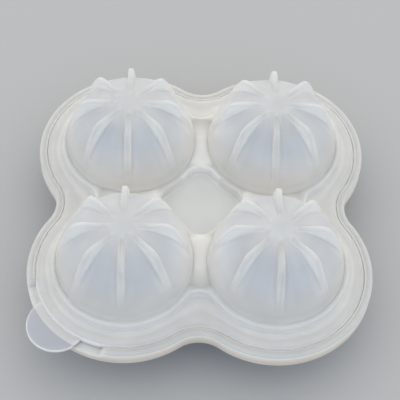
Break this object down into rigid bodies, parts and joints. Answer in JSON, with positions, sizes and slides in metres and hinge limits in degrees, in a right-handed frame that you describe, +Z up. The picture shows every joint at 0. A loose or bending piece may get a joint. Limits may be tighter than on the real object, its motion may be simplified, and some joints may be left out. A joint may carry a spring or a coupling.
{
  "type": "ice ball mold",
  "caption": "Closed silicone ice ball mould: ribbed hemispherical cups in a lobed, lipped tray, with a matching domed lid that lifts off by a corner pull tab.",
  "frame": {"origin": "middle of the plane on which the lower cups' ribs stand", "axes": "+Z up, out of the domes' poles; -X and -Y point to the corner with the pull tab"},
  "size_m": [0.1272, 0.1272, 0.0494],
  "materials": {
    "milky_silicone": "satin, milky translucent"
  },
  "bodies": {
    "tray": {"lower_tray": "milky_silicone"},
    "lid": {"upper_lid": "milky_silicone"}
  },
  "joints": [
    {"name": "lid_lift", "type": "slide", "parent": "tray", "child": "lid", "axis": [0, 0, 1], "range_m": [0, 0.06]}
  ]
}
